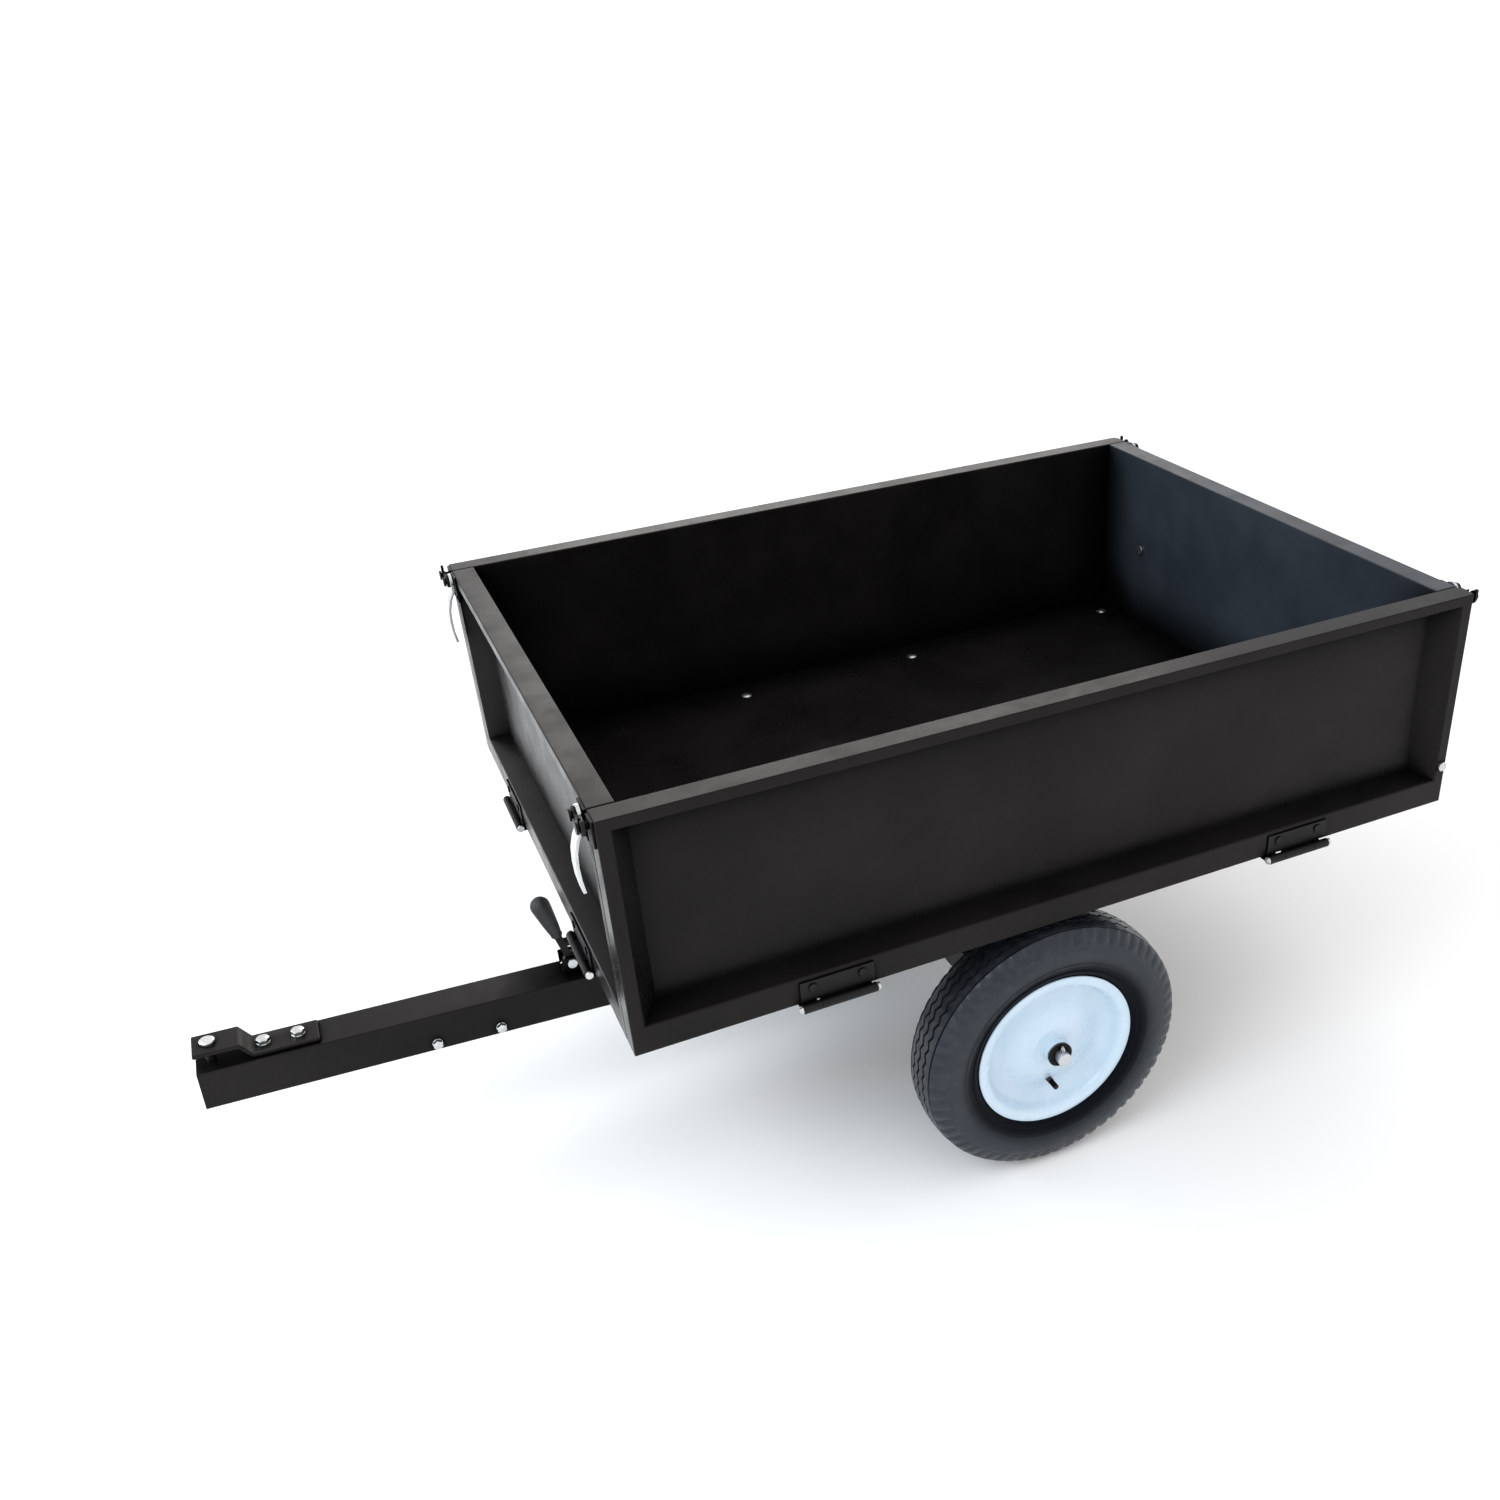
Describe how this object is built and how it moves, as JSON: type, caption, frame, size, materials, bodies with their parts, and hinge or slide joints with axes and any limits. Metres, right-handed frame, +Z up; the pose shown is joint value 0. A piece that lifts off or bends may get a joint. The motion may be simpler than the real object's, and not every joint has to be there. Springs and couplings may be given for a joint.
{
  "type": "tow behind cart",
  "caption": "Tow-behind dump cart: steel bed with fold-down panels and corner latches, tipping bed, release lever, pneumatic wheels, drawbar and pinned clevis hitch.",
  "frame": {"origin": "centre of the bounding box on the ground plane under the tyres", "axes": "+Z up, the drawbar and hitch point to -X, the tailgate to +X, +Y is the far side"},
  "size_m": [1.698, 0.935, 0.704],
  "materials": {
    "black_paint": "gloss",
    "dark_paint": "satin",
    "zinc": "satin",
    "white_paint": "gloss",
    "tyre_rubber": "matte",
    "black_rubber": "matte",
    "nylon": "matte"
  },
  "bodies": {
    "chassis": {"axle_shaft": "zinc", "axle_beam": "black_paint", "axle_washers": "zinc", "cotter_pins": "zinc", "pivot_ears": "black_paint", "pivot_pins": "zinc", "drawbar": "black_paint", "drawbar_cap": "black_rubber", "drawbar_gussets": "black_paint", "drawbar_bolts": "zinc", "hitch_strap": "black_paint", "hitch_bolts": "zinc", "bed_rest": "black_paint", "rest_pad": "black_rubber", "lever_bracket": "black_paint", "lever_pivot": "zinc", "lever_spring": "zinc"},
    "bed": {"bed_floor": "black_paint", "bed_cross_members": "dark_paint", "bed_rails": "dark_paint", "floor_bolts": "zinc", "pivot_lugs": "dark_paint", "bed_hinge_leaves": "dark_paint", "hinge_pins": "zinc", "tip_strike": "zinc"},
    "near_side": {"near_side_panel": "black_paint", "near_hinge_leaves": "dark_paint", "near_keepers": "dark_paint", "near_lip_bolt": "zinc"},
    "far_side": {"far_side_panel": "black_paint", "far_hinge_leaves": "dark_paint", "far_keepers": "dark_paint", "far_lip_bolt": "zinc"},
    "front": {"front_panel": "black_paint", "front_hinge_leaves": "dark_paint", "front_latch_bases": "dark_paint"},
    "rear": {"tailgate": "black_paint", "tailgate_hinge_leaves": "dark_paint", "tailgate_latch_bases": "dark_paint", "tailgate_bolts": "zinc"},
    "near_wheel": {"near_tyre": "tyre_rubber", "near_rim": "white_paint", "near_bushes": "nylon", "near_valve": "black_rubber"},
    "far_wheel": {"far_tyre": "tyre_rubber", "far_rim": "white_paint", "far_bushes": "nylon", "far_valve": "black_rubber"},
    "release": {"release_lever": "dark_paint", "lever_grip": "black_rubber"},
    "drop_pin": {"hitch_pin": "zinc"},
    "latch_front_near": {"latch_lever_front_near": "zinc", "latch_claw_front_near": "dark_paint"},
    "latch_front_far": {"latch_lever_front_far": "zinc", "latch_claw_front_far": "dark_paint"},
    "latch_rear_near": {"latch_lever_rear_near": "zinc", "latch_claw_rear_near": "dark_paint"},
    "latch_rear_far": {"latch_lever_rear_far": "zinc", "latch_claw_rear_far": "dark_paint"}
  },
  "joints": [
    {"name": "bed_tip", "type": "hinge", "parent": "chassis", "child": "bed", "pos_m": [0.29851, 0, 0.33], "axis": [0, 1, 0], "range_deg": [0, 38]},
    {"name": "near_panel_fold", "type": "hinge", "parent": "bed", "child": "near_side", "pos_m": [0.23851, -0.44, 0.386], "axis": [1, 0, 0], "range_deg": [0, 110]},
    {"name": "far_panel_fold", "type": "hinge", "parent": "bed", "child": "far_side", "pos_m": [0.23851, 0.44, 0.386], "axis": [-1, 0, 0], "range_deg": [0, 110]},
    {"name": "front_panel_fold", "type": "hinge", "parent": "bed", "child": "front", "pos_m": [-0.35849, 0, 0.386], "axis": [0, -1, 0], "range_deg": [0, 100]},
    {"name": "tailgate_fold", "type": "hinge", "parent": "bed", "child": "rear", "pos_m": [0.83551, 0, 0.386], "axis": [0, 1, 0], "range_deg": [0, 180]},
    {"name": "latch_front_near", "type": "hinge", "parent": "front", "child": "latch_front_near", "pos_m": [-0.35999, -0.387, 0.692], "axis": [1, 0, 0], "range_deg": [0, 100]},
    {"name": "latch_front_far", "type": "hinge", "parent": "front", "child": "latch_front_far", "pos_m": [-0.35999, 0.387, 0.692], "axis": [-1, 0, 0], "range_deg": [0, 100]},
    {"name": "latch_rear_near", "type": "hinge", "parent": "rear", "child": "latch_rear_near", "pos_m": [0.83701, -0.387, 0.692], "axis": [1, 0, 0], "range_deg": [0, 100]},
    {"name": "latch_rear_far", "type": "hinge", "parent": "rear", "child": "latch_rear_far", "pos_m": [0.83701, 0.387, 0.692], "axis": [-1, 0, 0], "range_deg": [0, 100]},
    {"name": "near_wheel_spin", "type": "hinge", "parent": "chassis", "child": "near_wheel", "pos_m": [0.19851, -0.412, 0.19], "axis": [0, 1, 0], "continuous": true},
    {"name": "far_wheel_spin", "type": "hinge", "parent": "chassis", "child": "far_wheel", "pos_m": [0.19851, 0.412, 0.19], "axis": [0, 1, 0], "continuous": true},
    {"name": "release_lever_pull", "type": "hinge", "parent": "chassis", "child": "release", "pos_m": [-0.34449, 0, 0.24268], "axis": [0, -1, 0], "range_deg": [0, 30], "stiffness_Nm_per_rad": 1, "springref_deg": -20.05},
    {"name": "hitch_pin_lift", "type": "slide", "parent": "chassis", "child": "drop_pin", "axis": [0.0523, 0, 0.9986], "range_m": [0, 0.1]}
  ]
}
